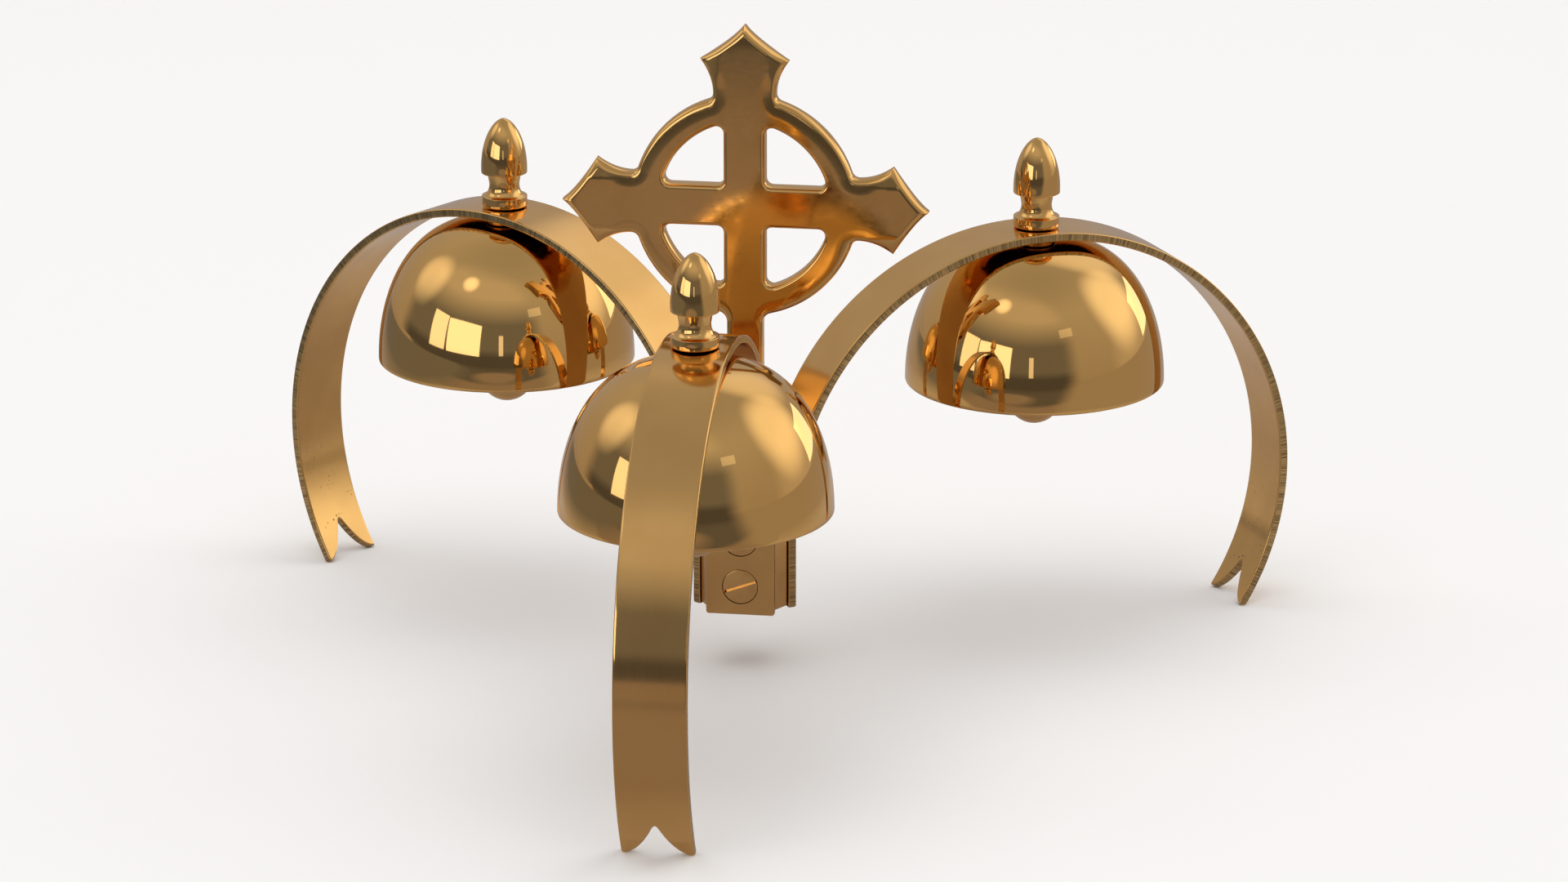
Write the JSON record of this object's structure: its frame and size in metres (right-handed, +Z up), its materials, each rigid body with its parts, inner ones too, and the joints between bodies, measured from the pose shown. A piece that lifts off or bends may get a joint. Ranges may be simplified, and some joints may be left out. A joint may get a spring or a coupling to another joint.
{
  "type": "sanctus bell",
  "caption": "Standing altar bell: domed brass bells hung under arched strip legs that meet at a hub, with a ringed cross above the hub as the handle.",
  "frame": {"origin": "middle of the object's span on the surface it stands on; the hub's axis is 31.1 mm behind it", "axes": "+Z up; the front leg points along -Y, the cross faces -Y and its arms lie along X"},
  "size_m": [0.248, 0.2147, 0.1556],
  "materials": {
    "polished_brass": "mirror-polished brass",
    "satin_brass": "brushed satin brass",
    "cast_brass": "semi-polished cast brass",
    "turned_brass": "turned satin brass"
  },
  "bodies": {
    "stand": {"hub_core": "satin_brass", "cross": "cast_brass", "stem_nut": "turned_brass", "strap_front": "satin_brass", "strap_screw_front_lower": "turned_brass", "strap_screw_front_upper": "turned_brass", "bell_front": "polished_brass", "finial_front": "polished_brass", "spacer_front": "turned_brass", "hanger_bolt_front": "turned_brass", "lock_nut_front": "turned_brass", "strap_right": "satin_brass", "strap_screw_right_lower": "turned_brass", "strap_screw_right_upper": "turned_brass", "bell_right": "polished_brass", "finial_right": "polished_brass", "spacer_right": "turned_brass", "hanger_bolt_right": "turned_brass", "lock_nut_right": "turned_brass", "strap_left": "satin_brass", "strap_screw_left_lower": "turned_brass", "strap_screw_left_upper": "turned_brass", "bell_left": "polished_brass", "finial_left": "polished_brass", "spacer_left": "turned_brass", "hanger_bolt_left": "turned_brass", "lock_nut_left": "turned_brass"},
    "swivel_front": {"clapper_stirrup_front": "satin_brass", "clapper_pin_front": "turned_brass"},
    "clapper_front": {"clapper_rod_front": "turned_brass", "clapper_ball_front": "polished_brass"},
    "swivel_right": {"clapper_stirrup_right": "satin_brass", "clapper_pin_right": "turned_brass"},
    "clapper_right": {"clapper_rod_right": "turned_brass", "clapper_ball_right": "polished_brass"},
    "swivel_left": {"clapper_stirrup_left": "satin_brass", "clapper_pin_left": "turned_brass"},
    "clapper_left": {"clapper_rod_left": "turned_brass", "clapper_ball_left": "polished_brass"}
  },
  "joints": [
    {"name": "swivel_turn_front", "type": "hinge", "parent": "stand", "child": "swivel_front", "pos_m": [0, -0.04312, 0.09035], "axis": [0, 0, 1], "continuous": true},
    {"name": "clapper_swing_front", "type": "hinge", "parent": "swivel_front", "child": "clapper_front", "pos_m": [0, -0.04312, 0.08395], "axis": [1, 0, 0], "range_deg": [-55, 55]},
    {"name": "swivel_turn_right", "type": "hinge", "parent": "stand", "child": "swivel_right", "pos_m": [0.06426, 0.06818, 0.09035], "axis": [0, 0, 1], "continuous": true},
    {"name": "clapper_swing_right", "type": "hinge", "parent": "swivel_right", "child": "clapper_right", "pos_m": [0.06426, 0.06818, 0.08395], "axis": [-0.5, 0.866, 0], "range_deg": [-55, 55]},
    {"name": "swivel_turn_left", "type": "hinge", "parent": "stand", "child": "swivel_left", "pos_m": [-0.06426, 0.06818, 0.09035], "axis": [0, 0, 1], "continuous": true},
    {"name": "clapper_swing_left", "type": "hinge", "parent": "swivel_left", "child": "clapper_left", "pos_m": [-0.06426, 0.06818, 0.08395], "axis": [-0.5, -0.866, 0], "range_deg": [-55, 55]}
  ]
}
